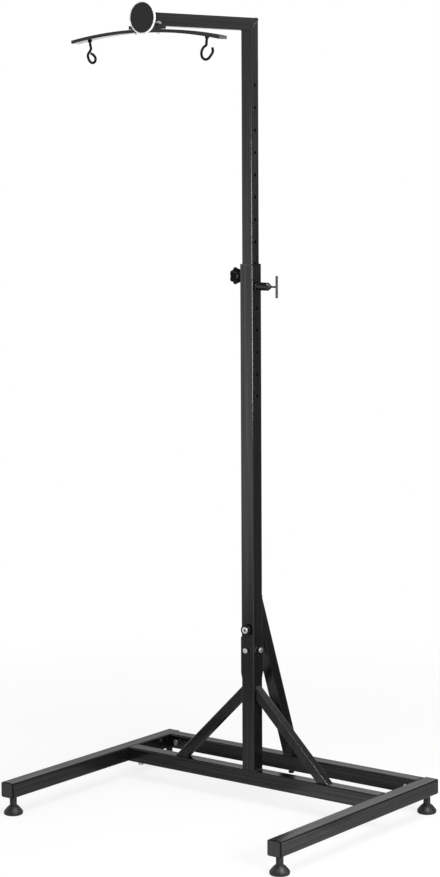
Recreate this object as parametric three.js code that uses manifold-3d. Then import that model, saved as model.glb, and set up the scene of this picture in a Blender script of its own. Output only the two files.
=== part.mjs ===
// Gong stand: a wide base of square tube, a telescopic mast with an arm, and a bow with two hooks for a gong.
// Millimetres, +Z up. The origin is on the floor under the middle of the base; the arm points to -Y.

import * as THREE from 'three';
import { mergeVertices } from 'three/addons/utils/BufferGeometryUtils.js';
import Module from 'manifold-3d';

const wasm = await Module();
wasm.setup();

// Base
const baseWidth = 900;
const baseDepth = 700;
const beamHeight = 48.5;
const rearBarInset = 27;
const crossbarSpacing = 181;
const crossbarEndGap = 1;
const footInset = 25;

// Tube stock: outer side, wall and outer corner radius
const frameTube = { side: 40, wall: 2, corner: 4 };
const mastTube = { side: 40, wall: 2, corner: 3 };
const upperTube = { side: 32, wall: 2, corner: 2.4 };
const braceTube = { side: 25, wall: 1.5, corner: 2.5 };
const spigotTube = { wall: 2.5, corner: 2, length: 55, boltInset: 27, clearance: 0.4 };

// Heights above the floor, and reaches from the mast's axis
const socketTopHeight = 446;
const lowerMastTopHeight = 1425;
const armTopHeight = 2050.5;
const upperTubeLength = 1050;
const armReach = 427.5;
const pinHeight = 1368;
const clampHeight = 1393;
const strutKnobRise = 21;

// Index holes
const holePitch = 57;
const holeRadius = 4.3;
const upperHolesAbove = 9;
const upperHolesBelow = 2;
const lowerHolesBelow = 5;

// Stub post's socket
const socket = { side: 44, corner: 3.8, length: 94.6, taper: 18.2, clearance: 0.2, boltDrop: 33.7 };

// Braces and rear strut
const brace = { angle: 44.4, topHeight: 297.6 };
const strut = { angle: 69.9, footOffset: 5.3 };
const headPlate = { rise: 2, height: 106, thickness: 5 };
const footPlate = { depth: 38, thickness: 4 };

// Screws, bolts and nuts, all of one thread
const thread = { radius: 4 };
const boltHead = { flats: 13, height: 5.3 };
const washer = { radius: 8, thickness: 1.6 };
const springWasher = { radius: 6.4, thickness: 2 };
const nut = { flats: 13, height: 6.5 };
const crossbarBoltLength = 16;
const socketBoltLength = 14;

// Gaps
const seatGap = 0.3;
const threadGap = 0.1;
const runningGap = 0.06;
const boltHoleGap = 0.5;
const plugGap = 0.3;
const overrun = 10;

// End caps and feet
const cap = { thickness: 5, edge: 3, plugLength: 11, plugWall: 2.4, ribHeight: 0.5, ribs: 1 };
const pad = { radius: 25, soleRadius: 21, rimHeight: 8.5, coneHeight: 25, neckRadius: 9.2, boreDepth: 34 };
const footStud = { insideBeam: 22 };

// Mast fittings
const bush = { rim: 2.6, depth: 20, clearance: 0.2 };
const glide = { collar: 12, depth: 16, wall: 3, bottomGap: 0.3 };
const clampBoss = { flats: 17, height: 6 };
const knob = { radius: 22.6, length: 27.5, lobes: 6, bore: 18 };
const clampTip = { radius: 3, length: 2.7 };
const strutKnob = { radius: 15, height: 10, edge: 2.2, flutes: 10, fluteRadius: 1.8 };
const strutScrew = { headRadius: 8.8, headHeight: 5, proud: 2, socketFlats: 6, socketDepth: 3, beyond: 3 };

// Star knob's rings from the hub out: shares of its radius and of its length, and the depth of the lobes
const knobRingShares = [
  [0.5, 0, 0],
  [0.52, 0.14, 0],
  [0.72, 0.3, 0.06],
  [0.87, 0.6, 0.15],
  [0.98, 0.78, 0.2],
  [1, 0.85, 0.2],
  [0.94, 0.93, 0.19],
  [0.8, 0.98, 0.12],
  [0.55, 1, 0],
];

// Pull pin, as distances out from the mast's right face
const housing = { flats: 21, baseHeight: 4, radius: 10.6, bodyEnd: 35.8, coneEnd: 45.4, endRadius: 3.8 };
const chamber = { radius: 7.2, start: 6, end: 33 };
const plunger = { noseRadius: 4, collarRadius: 6.9, collarLength: 3, rodRadius: 2.4, tailRadius: 1.5 };
const pinParkedGap = 0.4;
const pinTravel = 9;
const pinHandle = { radius: 2.85, length: 57, distance: 63.6 };
const pinSpring = { turns: 6, wire: 0.6, clearance: 0.35 };

// Arm end, badge and bow
const armPlug = { length: 20 };
const badge = { radius: 39.2, rim: 2.8, thickness: 4.8, recess: 1.6, faceThickness: 1.2, rise: 2.9 };
const badgeStud = { radius: 2.5, length: 14 };
const mountPlate = { length: 96, width: 30, thickness: 8, corner: 4, setback: 15.3 };
const bow = { radius: 1248, halfSpan: 231, thickness: 8, boltOffset: 34, hookOffset: 184 };
const bowBoltProud = 3;

// Hooks
const wireRadius = 2.8;
const hook = { drop: 64, straight: 15, collarRadius: 5.2, collarHeight: 4.5 };
// Places along each hook's wire below its shank, to the side and down, as shares of the drop
const closedHookShares = [
  [0, 0.34],
  [0.014, 0.46],
  [-0.075, 0.545],
  [-0.195, 0.64],
  [-0.215, 0.76],
  [-0.135, 0.92],
  [0.017, 1],
  [0.16, 0.94],
  [0.2, 0.83],
  [0.119, 0.715],
  [-0.012, 0.63],
];
const openHookShares = [
  [0, 0.34],
  [0.004, 0.448],
  [-0.085, 0.54],
  [-0.142, 0.67],
  [-0.142, 0.81],
  [-0.085, 0.93],
  [0.03, 0.978],
  [0.14, 0.93],
  [0.235, 0.79],
  [0.288, 0.65],
  [0.25, 0.51],
];
const leftHookTurn = -8;
const rightHookTurn = 20;

// Facets
const cornerSteps = 3;
const roundSides = 20;
const badgeSides = 28;
const boltSides = 12;
const holeSides = 10;
const fittingSides = 16;
const knobSides = 36;
const bowSteps = 20;
const wireSides = 8;
const hookSteps = 29;
const springSides = 5;
const springStepsPerTurn = 8;

// Places that follow from the sizes above
const beamX = (baseWidth - frameTube.side) / 2;
const beamFaceX = beamX - frameTube.side / 2;
const beamAxisZ = beamHeight + frameTube.side / 2;
const crossbarTopZ = beamHeight + frameTube.side;
const rearBarY = baseDepth / 2 - rearBarInset;
const mastY = rearBarY - crossbarSpacing;
const footY = baseDepth / 2 - footInset;
const socketStartZ = socketTopHeight - socket.length;
const socketBoltZ = socketTopHeight - socket.boltDrop;
const strutKnobZ = socketTopHeight + strutKnobRise;
const headPlateBottomZ = socketTopHeight + headPlate.rise;
const lowerMastBottomZ = socketStartZ + seatGap;
const lowerMastTopZ = lowerMastTopHeight - bush.rim - seatGap;
const mastHalf = mastTube.side / 2;
const upperHalf = upperTube.side / 2;
const armAxisZ = armTopHeight - upperHalf;
const upperBottomZ = armTopHeight - upperTubeLength;
const armUndersideZ = armTopHeight - upperTube.side;
const plateY = -(armReach - mountPlate.setback);
const plateTopZ = armUndersideZ - seatGap;
const bowTopZ = plateTopZ - mountPlate.thickness - seatGap;
const strutFootY = crossbarSpacing - strut.footOffset;
const spigotBoltX = beamFaceX - spigotTube.boltInset;
const spigotSide = frameTube.side - 2 * frameTube.wall - 2 * spigotTube.clearance;

// Finishes
function finish(color, roughness, metalness) {
  return new THREE.MeshStandardMaterial({ color, roughness, metalness });
}
const blackPaint = finish(0x2b2b2c, 0.5, 0.1);
const blackPlastic = finish(0x1d1c1e, 0.55, 0);
const zinc = finish(0xc9cacb, 0.35, 0.9);
const darkSteel = finish(0x2a2a2b, 0.4, 0.7);
const palePlastic = finish(0xdadada, 0.4, 0);
const badgeBlack = finish(0x222224, 0.4, 0);

// Turns a three.js geometry into a solid that can be joined and cut
function solidOf(geometry) {
  const bare = geometry.clone();
  bare.deleteAttribute('normal');
  bare.deleteAttribute('uv');
  const merged = mergeVertices(bare);
  const place = merged.getAttribute('position');
  const index = merged.getIndex().array;
  const corners = [];
  for (let i = 0; i < index.length; i += 3) {
    const [a, b, c] = [index[i], index[i + 1], index[i + 2]];
    if (a !== b && b !== c && c !== a) corners.push(a, b, c);
  }
  if (signedVolume(place, corners) < 0) corners.reverse();
  const numProp = 3;
  const vertProperties = new Float32Array(place.array);
  const triVerts = new Uint32Array(corners);
  return new wasm.Manifold(new wasm.Mesh({ numProp, vertProperties, triVerts }));
}

function signedVolume(place, corners) {
  const [a, b, c] = [new THREE.Vector3(), new THREE.Vector3(), new THREE.Vector3()];
  let sum = 0;
  for (let i = 0; i < corners.length; i += 3) {
    a.fromBufferAttribute(place, corners[i]);
    b.fromBufferAttribute(place, corners[i + 1]);
    c.fromBufferAttribute(place, corners[i + 2]);
    sum += a.dot(b.cross(c));
  }
  return sum;
}

function geometryOf(solid) {
  const mesh = solid.getMesh();
  const geometry = new THREE.BufferGeometry();
  geometry.setAttribute('position', new THREE.BufferAttribute(new Float32Array(mesh.vertProperties), 3));
  geometry.setIndex(new THREE.BufferAttribute(new Uint32Array(mesh.triVerts), 1));
  return geometry;
}

function join(first, ...others) {
  return geometryOf(others.reduce((sum, other) => sum.add(solidOf(other)), solidOf(first)));
}

function cut(first, ...tools) {
  return geometryOf(tools.reduce((rest, tool) => rest.subtract(solidOf(tool)), solidOf(first)));
}

// Basic forms, each along +Z from z = 0
function roundedRectangle(width, depth, corner) {
  const points = [];
  for (let quarter = 0; quarter < 4; quarter++) {
    const middle = (quarter + 0.5) * Math.PI / 2;
    const x = (width / 2 - corner) * Math.sign(Math.cos(middle));
    const y = (depth / 2 - corner) * Math.sign(Math.sin(middle));
    for (let step = 0; step <= cornerSteps; step++) {
      const angle = (quarter + step / cornerSteps) * Math.PI / 2;
      points.push(new THREE.Vector2(x + corner * Math.cos(angle), y + corner * Math.sin(angle)));
    }
  }
  return points;
}

function roundedSquare(side, corner) {
  return roundedRectangle(side, side, corner);
}

function prism(outline, length) {
  return new THREE.ExtrudeGeometry(new THREE.Shape(outline), { depth: length, bevelEnabled: false });
}

function innerCorner(tube) {
  return Math.max(tube.corner - tube.wall, tube.corner / 6);
}

function squareTube(tube, length) {
  const shape = new THREE.Shape(roundedSquare(tube.side, tube.corner));
  shape.holes.push(new THREE.Path(roundedSquare(tube.side - 2 * tube.wall, innerCorner(tube))));
  return new THREE.ExtrudeGeometry(shape, { depth: length, bevelEnabled: false });
}

function rod(radius, length, sides = roundSides) {
  const form = new THREE.CylinderGeometry(radius, radius, length, sides);
  return form.rotateX(Math.PI / 2).translate(0, 0, length / 2);
}

// A hole's corners stand out so that its flats clear the round piece inside it
function bore(radius, gap, length, sides = roundSides) {
  return rod((radius + gap) / Math.cos(Math.PI / sides), length, sides);
}

function hexagon(flats, height) {
  return rod(flats / Math.sqrt(3), height, 6);
}

function box(width, depth, height) {
  return new THREE.BoxGeometry(width, depth, height).translate(0, 0, height / 2);
}

// Revolves [radius, height] points that start and end on the axis, or close on themselves
function revolve(points, sides = roundSides) {
  const profile = points.map(([radius, height]) => new THREE.Vector2(radius, height));
  return new THREE.LatheGeometry(profile, sides).rotateX(Math.PI / 2);
}

// A closed skin through rings { outline, z } whose outlines have as many points each
function skin(rings) {
  const count = rings[0].outline.length;
  const places = [];
  for (const { outline, z } of rings) {
    for (const point of outline) places.push(point.x, point.y, z);
  }
  const faces = [];
  for (let level = 0; level + 1 < rings.length; level++) {
    for (let i = 0; i < count; i++) {
      const [a, b] = [level * count + i, level * count + (i + 1) % count];
      faces.push(a, b, b + count, a, b + count, a + count);
    }
  }
  const last = (rings.length - 1) * count;
  for (let i = 1; i + 1 < count; i++) faces.push(0, i + 1, i, last, last + i, last + i + 1);
  const geometry = new THREE.BufferGeometry();
  geometry.setAttribute('position', new THREE.BufferAttribute(new Float32Array(places), 3));
  geometry.setIndex(faces);
  return geometry;
}

// A skin through rounded squares { side, corner, z }
function loft(squares) {
  return skin(squares.map(({ side, corner, z }) => ({ outline: roundedSquare(side, corner), z })));
}

// Turns a form that runs along +Z so that it runs along another axis
const toward = {
  down: (form) => form.rotateX(Math.PI),
  right: (form) => form.rotateY(Math.PI / 2),
  left: (form) => form.rotateY(-Math.PI / 2),
  back: (form) => form.rotateX(-Math.PI / 2),
  front: (form) => form.rotateX(Math.PI / 2),
};

function piece(name, geometry, material, parent, x = 0, y = 0, z = 0) {
  const mesh = new THREE.Mesh(geometry, material);
  mesh.name = name;
  mesh.position.set(x, y, z);
  parent.add(mesh);
  return mesh;
}

// Fasteners: the seat is z = 0, the head stands on +Z and the shank runs to -Z
function hexBolt(shankLength) {
  const washerTop = seatGap + washer.thickness;
  const springTop = washerTop + springWasher.thickness;
  const headTop = springTop + boltHead.height;
  const head = hexagon(boltHead.flats, boltHead.height + springWasher.thickness / 2);
  const stack = revolve([
    [0, -shankLength],
    [thread.radius, -shankLength],
    [thread.radius, seatGap],
    [washer.radius, seatGap],
    [washer.radius, washerTop],
    [springWasher.radius, washerTop],
    [springWasher.radius, springTop],
    [0, springTop],
  ], boltSides);
  return join(stack, head.translate(0, 0, headTop - boltHead.height - springWasher.thickness / 2));
}

function weldNut() {
  return hexagon(nut.flats, nut.height);
}

function threadHole(length) {
  return bore(thread.radius, threadGap, length, boltSides);
}

function clearHole(length) {
  return bore(thread.radius, boltHoleGap, length, holeSides);
}

// Side beam with its two spigots; inward is +1 on the left beam and -1 on the right one
function sideBeam(inward) {
  const length = baseDepth - 2 * (cap.thickness + seatGap);
  const tube = toward.back(squareTube(frameTube, length)).translate(0, -length / 2, 0);
  const inside = frameTube.side / 2 - frameTube.wall;
  const spigotInside = spigotSide / 2 - spigotTube.wall;
  const section = { side: spigotSide, wall: spigotTube.wall, corner: spigotTube.corner };
  const away = inward > 0 ? toward.right : toward.left;
  const start = inward * (frameTube.side / 2 - frameTube.wall / 2);
  const reach = spigotTube.length + frameTube.wall / 2;
  const boltX = inward * (frameTube.side / 2 + spigotTube.boltInset);
  const solids = [tube];
  const holes = [];
  for (const y of [mastY, rearBarY]) solids.push(away(squareTube(section, reach)).translate(start, y, 0));
  solids.push(weldNut().translate(boltX, mastY, -spigotInside - spigotTube.wall / 2));
  solids.push(toward.back(weldNut()).translate(boltX, rearBarY - spigotInside - spigotTube.wall / 2, 0));
  holes.push(threadHole(spigotSide).translate(boltX, mastY, -spigotSide));
  holes.push(toward.back(threadHole(spigotSide)).translate(boltX, rearBarY - spigotSide, 0));
  for (const y of [-footY, footY]) {
    solids.push(weldNut().translate(0, y, -inside - frameTube.wall / 2));
    holes.push(threadHole(frameTube.side).translate(0, y, -frameTube.side));
  }
  return cut(join(...solids), ...holes);
}

// End cap: the beam's end plane is z = 0, the cap stands on +Z and its plug runs to -Z
function endCap() {
  const outside = frameTube.side;
  const rings = [{ side: outside, corner: frameTube.corner, z: 0 }];
  for (let step = 0; step <= cornerSteps; step++) {
    const angle = step / cornerSteps * Math.PI / 2;
    const inset = cap.edge * (1 - Math.cos(angle));
    const z = cap.thickness - cap.edge * (1 - Math.sin(angle));
    rings.push({ side: outside - 2 * inset, corner: frameTube.corner, z });
  }
  const plugSide = outside - 2 * frameTube.wall - 2 * plugGap;
  const corner = innerCorner(frameTube);
  const ribPitch = cap.plugLength / (2 * cap.ribs + 1);
  const plugRings = [{ side: plugSide - 2 * cap.ribHeight, corner, z: cap.thickness / 2 }];
  for (let rib = 1; rib <= cap.ribs; rib++) {
    const top = -(2 * rib - 1) * ribPitch;
    plugRings.push({ side: plugSide - 2 * cap.ribHeight, corner, z: top });
    plugRings.push({ side: plugSide, corner, z: top - ribPitch / 2 });
    plugRings.push({ side: plugSide - 2 * cap.ribHeight, corner, z: top - ribPitch });
  }
  plugRings.push({ side: plugSide - 2 * cap.ribHeight, corner, z: -cap.plugLength });
  const hollowSide = plugSide - 2 * cap.plugWall;
  const hollow = prism(roundedSquare(hollowSide, corner), cap.plugLength);
  hollow.translate(0, 0, -cap.plugLength - seatGap);
  return cut(join(loft(rings), loft(plugRings.reverse())), hollow);
}

// Foot pad with a blind bore for its stud; z = 0 is the floor
function footPad() {
  const top = beamHeight - seatGap;
  const shoulder = pad.radius - pad.soleRadius;
  const edge = [];
  for (let step = 0; step <= cornerSteps; step++) {
    const angle = (step / cornerSteps - 1) * Math.PI / 2;
    edge.push([pad.soleRadius + shoulder * Math.cos(angle), pad.rimHeight * (1 + Math.sin(angle))]);
  }
  const cone = [];
  for (let step = 1; step <= cornerSteps; step++) {
    const rise = step / cornerSteps;
    const swing = Math.sin(rise * Math.PI / 2);
    const radius = THREE.MathUtils.lerp(pad.radius, pad.neckRadius, rise);
    cone.push([radius, THREE.MathUtils.lerp(pad.rimHeight, pad.coneHeight, (rise + swing) / 2)]);
  }
  const form = revolve([[0, 0], ...edge, ...cone, [pad.neckRadius, top], [0, top]]);
  const socketHole = bore(thread.radius, runningGap, pad.boreDepth + overrun, boltSides);
  return cut(form, socketHole.translate(0, 0, top - pad.boreDepth));
}

function footStudForm() {
  const bottom = beamHeight - seatGap - pad.boreDepth + seatGap;
  return rod(thread.radius, beamHeight + footStud.insideBeam - bottom, boltSides).translate(0, 0, bottom);
}

// Crossbars lie between the beams; each bolt hole goes through the one wall that the bolt's head seats on
function crossbar(holeAxis) {
  const length = 2 * (beamFaceX - crossbarEndGap);
  const bar = toward.right(squareTube(frameTube, length)).translate(-length / 2, 0, 0);
  const holes = [-spigotBoltX, spigotBoltX].map((x) => {
    const hole = clearHole(frameTube.side / 2 + overrun);
    return toward[holeAxis](hole).translate(x, 0, 0);
  });
  return cut(bar, ...holes);
}

function rearCrossbar() {
  const through = clearHole(frameTube.side + 2 * overrun);
  through.translate(0, strutFootY - crossbarSpacing, -frameTube.side / 2 - overrun);
  return cut(crossbar('front'), through);
}

// Stub post, widened at its top into the mast's socket; z = 0 is the floor
function stubPost() {
  const bottom = crossbarTopZ + seatGap;
  const taperStart = socketStartZ - socket.taper;
  const outer = loft([
    { side: frameTube.side, corner: frameTube.corner, z: bottom },
    { side: frameTube.side, corner: frameTube.corner, z: taperStart },
    { side: socket.side, corner: socket.corner, z: socketStartZ },
    { side: socket.side, corner: socket.corner, z: socketTopHeight },
  ]);
  const mouthSide = mastTube.side + 2 * socket.clearance;
  const inner = loft([
    { side: frameTube.side - 2 * frameTube.wall, corner: innerCorner(frameTube), z: bottom - overrun },
    { side: frameTube.side - 2 * frameTube.wall, corner: innerCorner(frameTube), z: taperStart },
    { side: mouthSide, corner: mastTube.corner, z: socketStartZ },
    { side: mouthSide, corner: mastTube.corner, z: socketTopHeight + overrun },
  ]);
  const frontHole = toward.front(clearHole(socket.side)).translate(0, 0, socketBoltZ);
  const rightHole = toward.right(clearHole(socket.side)).translate(0, 0, socketBoltZ);
  return cut(outer, inner, frontHole, rightHole);
}

// Brace from the stub post's face down to the front crossbar; side is +1 on the right
function sideBrace(side) {
  const angle = THREE.MathUtils.degToRad(brace.angle);
  const postFace = frameTube.side / 2 + seatGap;
  const drop = brace.topHeight - crossbarTopZ;
  const length = drop / Math.sin(angle) + 4 * braceTube.side;
  const tube = squareTube(braceTube, length).translate(0, 0, -2 * braceTube.side);
  tube.rotateY(side * (Math.PI / 2 + angle)).translate(side * postFace, 0, brace.topHeight);
  const reach = drop + length;
  const post = box(reach, reach, 3 * reach).translate(side * (postFace - reach / 2), 0, -reach);
  const bar = box(4 * reach, reach, reach).translate(0, 0, crossbarTopZ + seatGap - reach);
  return cut(tube, post, bar);
}

// Rear strut between its head plate on the mast and its foot plate on the rear crossbar
function rearStrut() {
  const angle = THREE.MathUtils.degToRad(strut.angle);
  const plateBack = mastHalf + headPlate.thickness + 2 * seatGap;
  const plateTop = crossbarTopZ + footPlate.thickness + 2 * seatGap;
  const height = headPlateBottomZ + headPlate.height - crossbarTopZ;
  const length = height / Math.sin(angle) + 4 * upperTube.side;
  const tube = squareTube(upperTube, length).translate(0, 0, -2 * upperTube.side);
  tube.rotateX(Math.PI / 2 - angle).translate(0, strutFootY, plateTop);
  const mastSide = box(height, length, 3 * length).translate(0, plateBack - length / 2, -length);
  const barSide = box(height, 3 * length, length).translate(0, 0, plateTop - length);
  return cut(tube, mastSide, barSide);
}

function strutHeadPlate() {
  const plate = box(upperTube.side, headPlate.thickness, headPlate.height);
  plate.translate(0, mastHalf + seatGap + headPlate.thickness / 2, headPlateBottomZ);
  const hole = toward.back(threadHole(headPlate.thickness + 2 * overrun));
  return cut(plate, hole.translate(0, mastHalf - overrun, strutKnobZ));
}

function strutFootPlate() {
  const plate = box(upperTube.side, footPlate.depth, footPlate.thickness);
  return cut(plate, threadHole(footPlate.thickness + 2 * overrun).translate(0, 0, -overrun));
}

// Strut knob and its screw; z = 0 is the mast's front face
function strutKnobForm() {
  const round = [];
  for (let step = 0; step <= cornerSteps; step++) {
    const angle = step / cornerSteps * Math.PI / 2;
    const radius = strutKnob.radius - strutKnob.edge * (1 - Math.cos(angle));
    round.push([radius, strutKnob.height - strutKnob.edge * (1 - Math.sin(angle))]);
  }
  const form = revolve([[0, seatGap], [strutKnob.radius, seatGap], ...round, [0, strutKnob.height]]);
  const headBottom = strutKnob.height + strutScrew.proud - strutScrew.headHeight;
  const recess = bore(strutScrew.headRadius, runningGap, strutKnob.height);
  recess.translate(0, 0, headBottom - seatGap);
  const shankHole = bore(thread.radius, runningGap, strutKnob.height);
  const flutes = [];
  for (let flute = 0; flute < strutKnob.flutes; flute++) {
    const angle = flute / strutKnob.flutes * 2 * Math.PI;
    const groove = rod(strutKnob.fluteRadius, strutKnob.height + overrun, holeSides / 2);
    const reach = strutKnob.radius + strutKnob.fluteRadius / 2;
    flutes.push(groove.translate(reach * Math.cos(angle), reach * Math.sin(angle), 0));
  }
  return cut(form, recess, shankHole, ...flutes);
}

function strutScrewForm() {
  const headTop = strutKnob.height + strutScrew.proud;
  const headBottom = headTop - strutScrew.headHeight;
  const tip = -(mastTube.side + seatGap + headPlate.thickness + strutScrew.beyond);
  const form = revolve([
    [0, tip],
    [thread.radius, tip],
    [thread.radius, headBottom],
    [strutScrew.headRadius, headBottom],
    [strutScrew.headRadius, headTop],
    [0, headTop],
  ]);
  const recess = hexagon(strutScrew.socketFlats, overrun);
  return cut(form, recess.translate(0, 0, headTop - strutScrew.socketDepth));
}

// A hole through the right wall of a mast tube
function indexHole(length) {
  return toward.right(rod(holeRadius, length, holeSides));
}

// Lower mast with its index holes, fitting holes and the nuts for the socket's bolts
function lowerMast() {
  const tube = squareTube(mastTube, lowerMastTopZ - lowerMastBottomZ).translate(0, 0, lowerMastBottomZ);
  const inside = mastHalf - mastTube.wall / 2;
  const frontNut = toward.back(weldNut()).translate(0, -inside, socketBoltZ);
  const rightNut = toward.left(weldNut()).translate(inside, 0, socketBoltZ);
  const holes = [
    toward.front(threadHole(mastTube.side)).translate(0, 0, socketBoltZ),
    toward.right(threadHole(mastTube.side)).translate(0, 0, socketBoltZ),
    toward.back(clearHole(2 * mastTube.side)).translate(0, -mastTube.side, strutKnobZ),
    toward.left(clearHole(mastTube.side)).translate(0, 0, clampHeight),
  ];
  for (let k = 0; k <= lowerHolesBelow; k++) {
    holes.push(indexHole(mastTube.side).translate(0, 0, pinHeight - k * holePitch));
  }
  return cut(join(tube, frontNut, rightNut), ...holes);
}

// Guide bush in the lower mast's mouth; z = 0 is the tube's end
function guideBush() {
  const plugSide = mastTube.side - 2 * mastTube.wall - 2 * plugGap;
  const rim = prism(roundedSquare(mastTube.side, mastTube.corner), bush.rim).translate(0, 0, seatGap);
  const plug = prism(roundedSquare(plugSide, innerCorner(mastTube)), bush.depth + bush.rim / 2);
  const mouthSide = upperTube.side + 2 * bush.clearance;
  const mouth = prism(roundedSquare(mouthSide, upperTube.corner), bush.depth + bush.rim + 2 * overrun);
  const body = join(rim, plug.translate(0, 0, seatGap - bush.depth));
  return cut(body, mouth.translate(0, 0, -bush.depth - overrun));
}

// Glide on the upper tube's lower end; z = 0 is the tube's end
function tubeGlide() {
  const runSide = mastTube.side - 2 * mastTube.wall - 2 * glide.bottomGap;
  const plugSide = upperTube.side - 2 * upperTube.wall - 2 * plugGap;
  const bottom = -glide.collar - seatGap;
  const height = glide.depth + glide.collar;
  const corner = innerCorner(upperTube);
  const collar = prism(roundedSquare(runSide, innerCorner(mastTube)), glide.collar).translate(0, 0, bottom);
  const plug = prism(roundedSquare(plugSide, corner), height).translate(0, 0, bottom);
  const mouth = prism(roundedSquare(plugSide - 2 * glide.wall, corner), height + 2 * overrun);
  return cut(join(collar, plug), mouth.translate(0, 0, bottom - overrun));
}

// Star knob, a skin through lobed rings; z = 0 is the boss's outer end
function lobedRing(radius, depth) {
  const outline = [];
  for (let i = 0; i < knobSides; i++) {
    const angle = i / knobSides * 2 * Math.PI;
    const reach = radius * (1 - depth * (1 - Math.cos(knob.lobes * angle)) / 2);
    outline.push(new THREE.Vector2(reach * Math.cos(angle), reach * Math.sin(angle)));
  }
  return outline;
}

function starKnob() {
  const rings = knobRingShares.map(([radiusShare, lengthShare, depthShare]) => {
    const z = seatGap + lengthShare * (knob.length - seatGap);
    return { outline: lobedRing(radiusShare * knob.radius, depthShare), z };
  });
  const hole = bore(thread.radius, runningGap, knob.bore + overrun, boltSides);
  return cut(skin(rings), hole.translate(0, 0, -overrun));
}

function clampStud() {
  const tip = upperHalf + seatGap + clampTip.length + seatGap;
  const end = mastHalf + seatGap + clampBoss.height + knob.bore - seatGap;
  return rod(thread.radius, end - tip, boltSides).translate(0, 0, tip);
}

function clampBossForm() {
  const boss = hexagon(clampBoss.flats, clampBoss.height);
  return cut(boss, threadHole(clampBoss.height + 2 * overrun).translate(0, 0, -overrun));
}

// Pull pin's housing, hollow for the plunger's collar and spring; z = 0 is the mast's face
function pinHousing() {
  const frontBore = (plunger.noseRadius + runningGap) / Math.cos(Math.PI / fittingSides);
  const rearBore = (plunger.rodRadius + runningGap) / Math.cos(Math.PI / fittingSides);
  const shell = revolve([
    [frontBore, seatGap],
    [housing.radius - housing.baseHeight / 2, seatGap],
    [housing.radius, housing.baseHeight],
    [housing.radius, housing.bodyEnd],
    [housing.endRadius, housing.coneEnd],
    [rearBore, housing.coneEnd],
    [rearBore, chamber.end],
    [chamber.radius, chamber.end],
    [chamber.radius, chamber.start],
    [frontBore, chamber.start],
    [frontBore, seatGap],
  ], fittingSides);
  const base = hexagon(housing.flats, housing.baseHeight - seatGap).translate(0, 0, seatGap);
  const clearance = rod(housing.radius - housing.baseHeight / 2, housing.baseHeight, fittingSides);
  return join(shell, cut(base, clearance));
}

// Plunger, drawn out and parked; z = 0 is the mast's face
const noseTip = upperHalf - mastHalf + pinParkedGap;
const collarStart = chamber.start + pinTravel + seatGap;

function pullPin() {
  const handleFront = pinHandle.distance - pinHandle.radius - seatGap;
  const collarEnd = collarStart + plunger.collarLength;
  const tailEnd = pinHandle.distance + pinHandle.radius;
  return revolve([
    [0, noseTip],
    [plunger.noseRadius - seatGap, noseTip],
    [plunger.noseRadius, noseTip + 2 * seatGap],
    [plunger.noseRadius, collarStart],
    [plunger.collarRadius, collarStart],
    [plunger.collarRadius, collarEnd],
    [plunger.rodRadius, collarEnd],
    [plunger.rodRadius, handleFront],
    [plunger.tailRadius, handleFront],
    [plunger.tailRadius, tailEnd],
    [0, tailEnd],
  ], fittingSides);
}

function pinHandleForm() {
  const round = [];
  for (let step = 0; step <= cornerSteps; step++) {
    const angle = (step / cornerSteps - 1) * Math.PI / 2;
    round.push([pinHandle.radius * Math.cos(angle), pinHandle.radius * (1 + Math.sin(angle))]);
  }
  const top = round.map(([radius, height]) => [radius, pinHandle.length - height]).reverse();
  const bar = revolve([...round, ...top], holeSides).translate(0, 0, -pinHandle.length / 2);
  const hole = toward.right(bore(plunger.tailRadius, runningGap, 2 * overrun, fittingSides));
  return cut(bar, hole.translate(-overrun, 0, 0));
}

// A coil spring from z = 0 to its height
class Helix extends THREE.Curve {
  constructor(radius, height, turns) {
    super();
    Object.assign(this, { radius, height, turns });
  }
  getPoint(t, target = new THREE.Vector3()) {
    const angle = 2 * Math.PI * this.turns * t;
    return target.set(this.radius * Math.cos(angle), this.radius * Math.sin(angle), this.height * t);
  }
}

function circleOutline(radius, sides) {
  const outline = [];
  for (let i = 0; i < sides; i++) {
    const angle = i / sides * 2 * Math.PI;
    outline.push(new THREE.Vector2(radius * Math.cos(angle), radius * Math.sin(angle)));
  }
  return outline;
}

function sweep(curve, radius, sides, steps) {
  const shape = new THREE.Shape(circleOutline(radius, sides));
  return new THREE.ExtrudeGeometry(shape, { steps, extrudePath: curve, bevelEnabled: false });
}

function pinSpringForm() {
  const start = collarStart + plunger.collarLength + pinSpring.clearance + pinSpring.wire;
  const end = chamber.end - pinSpring.clearance - pinSpring.wire;
  const radius = chamber.radius - pinSpring.clearance - pinSpring.wire;
  const helix = new Helix(radius, end - start, pinSpring.turns);
  const steps = pinSpring.turns * springStepsPerTurn;
  return sweep(helix, pinSpring.wire, springSides, steps).translate(0, 0, start);
}

// The mitre plane runs through the crossing of the upper tube's and the arm's axes
function mitreTool(sign) {
  const size = 4 * upperTube.side;
  const tool = new THREE.BoxGeometry(size, size, size).translate(0, 0, sign * (size - seatGap) / 2);
  return tool.rotateX(Math.PI / 4).translate(0, 0, armAxisZ);
}

function upperMast() {
  const tube = squareTube(upperTube, upperTubeLength).translate(0, 0, upperBottomZ);
  const holes = [];
  for (let k = -upperHolesBelow; k <= upperHolesAbove; k++) {
    holes.push(indexHole(upperTube.side).translate(0, 0, pinHeight + k * holePitch));
  }
  return cut(tube, mitreTool(1), ...holes);
}

function armTube() {
  const tube = squareTube(upperTube, armReach + upperHalf).translate(0, 0, -upperHalf);
  return cut(toward.front(tube).translate(0, 0, armAxisZ), mitreTool(-1));
}

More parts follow.
